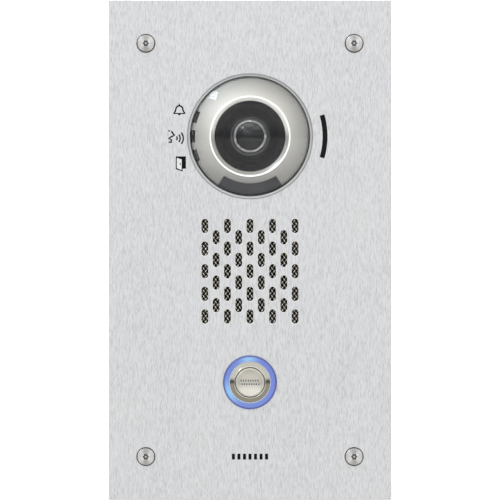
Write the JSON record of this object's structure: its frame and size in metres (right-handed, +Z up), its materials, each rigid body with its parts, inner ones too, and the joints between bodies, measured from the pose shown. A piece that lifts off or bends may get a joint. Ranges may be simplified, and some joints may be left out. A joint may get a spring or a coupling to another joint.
{
  "type": "door intercom panel",
  "caption": "Flush video door station: brushed steel plate with domed tilting camera, slotted speaker, arc microphone slot and lit call button, on a steel wall box.",
  "frame": {"origin": "centre of the face plate on the wall plane, which is the rear face of the plate's rim", "axes": "+Z up along the plate's height, +X to the right as a caller sees it, +Y into the wall; the face looks along -Y"},
  "size_m": [0.16, 0.0678, 0.2824],
  "materials": {
    "face_plate": "fine vertical brushing",
    "screw_steel": "turned stainless steel",
    "zinc_steel": "galvanised sheet",
    "clear_dome": "clear polycarbonate with a hard coat",
    "silver_ring": "satin silver paint",
    "smoked_window": "smoked acrylic",
    "black_plastic": "matt moulded",
    "rubber": "matt",
    "lens_metal": "dark satin anodised",
    "lens_glass": "coated lens",
    "circuit_board": "solder mask",
    "button_metal": "polished, with a satin cap",
    "blue_light": "translucent, lit blue",
    "speaker_paper": "coated cone",
    "woven_mesh": "woven wire",
    "dark_steel": "blackened",
    "spring_steel": "drawn wire",
    "terminal_plastic": "moulded",
    "lead_sleeve": "PVC sleeve"
  },
  "bodies": {
    "panel": {"face_plate": "face_plate", "plate_screw_1": "screw_steel", "plate_screw_2": "screw_steel", "plate_screw_3": "screw_steel", "plate_screw_4": "screw_steel", "plate_gasket": "rubber", "back_box": "zinc_steel", "cable_grommet": "rubber", "camera_dome": "clear_dome", "camera_ring": "silver_ring", "status_window_call": "smoked_window", "status_window_talk": "smoked_window", "status_window_door": "smoked_window", "night_light_window": "smoked_window", "dome_gasket": "rubber", "led_board": "circuit_board", "clamp_nut_1": "zinc_steel", "clamp_nut_2": "zinc_steel", "clamp_nut_3": "zinc_steel", "clamp_nut_4": "zinc_steel", "lens_shroud": "black_plastic", "camera_bracket": "zinc_steel", "speaker_mesh": "woven_mesh", "speaker_gasket": "rubber", "speaker_basket": "zinc_steel", "speaker_cone": "speaker_paper", "speaker_magnet": "dark_steel", "speaker_retainer": "zinc_steel", "retainer_nut_1": "zinc_steel", "retainer_nut_2": "zinc_steel", "mic_boot": "rubber", "mic_capsule": "dark_steel", "button_body": "button_metal", "button_light_ring": "blue_light", "button_seal": "rubber", "button_led_board": "circuit_board", "button_spring": "spring_steel", "button_nut": "zinc_steel", "button_switch": "black_plastic", "main_board": "circuit_board", "board_cover": "black_plastic", "board_screw_1": "zinc_steel", "board_screw_2": "zinc_steel", "board_screw_3": "zinc_steel", "board_screw_4": "zinc_steel", "terminal_block": "terminal_plastic", "speaker_lead": "lead_sleeve", "mic_lead": "lead_sleeve", "camera_lead": "lead_sleeve", "button_lead": "lead_sleeve"},
    "camera": {"camera_ball": "black_plastic", "lens_barrel": "black_plastic", "lens_ring": "lens_metal", "front_lens": "lens_glass", "sensor_board": "circuit_board", "tilt_pin_left": "spring_steel", "tilt_pin_right": "spring_steel", "tilt_lever": "black_plastic"},
    "call_button": {"button_cap": "button_metal", "button_plunger": "black_plastic"}
  },
  "joints": [
    {"name": "camera_tilt", "type": "hinge", "parent": "panel", "child": "camera", "pos_m": [0, 0.0083, 0.0642], "axis": [1, 0, 0], "range_deg": [-12, 12], "deforming": ["camera_lead"]},
    {"name": "button_press", "type": "slide", "parent": "panel", "child": "call_button", "axis": [0, 1, 0], "range_m": [0, 0.002], "stiffness_N_per_m": 1200, "springref_m": -0.001, "deforming": ["button_spring"]}
  ]
}
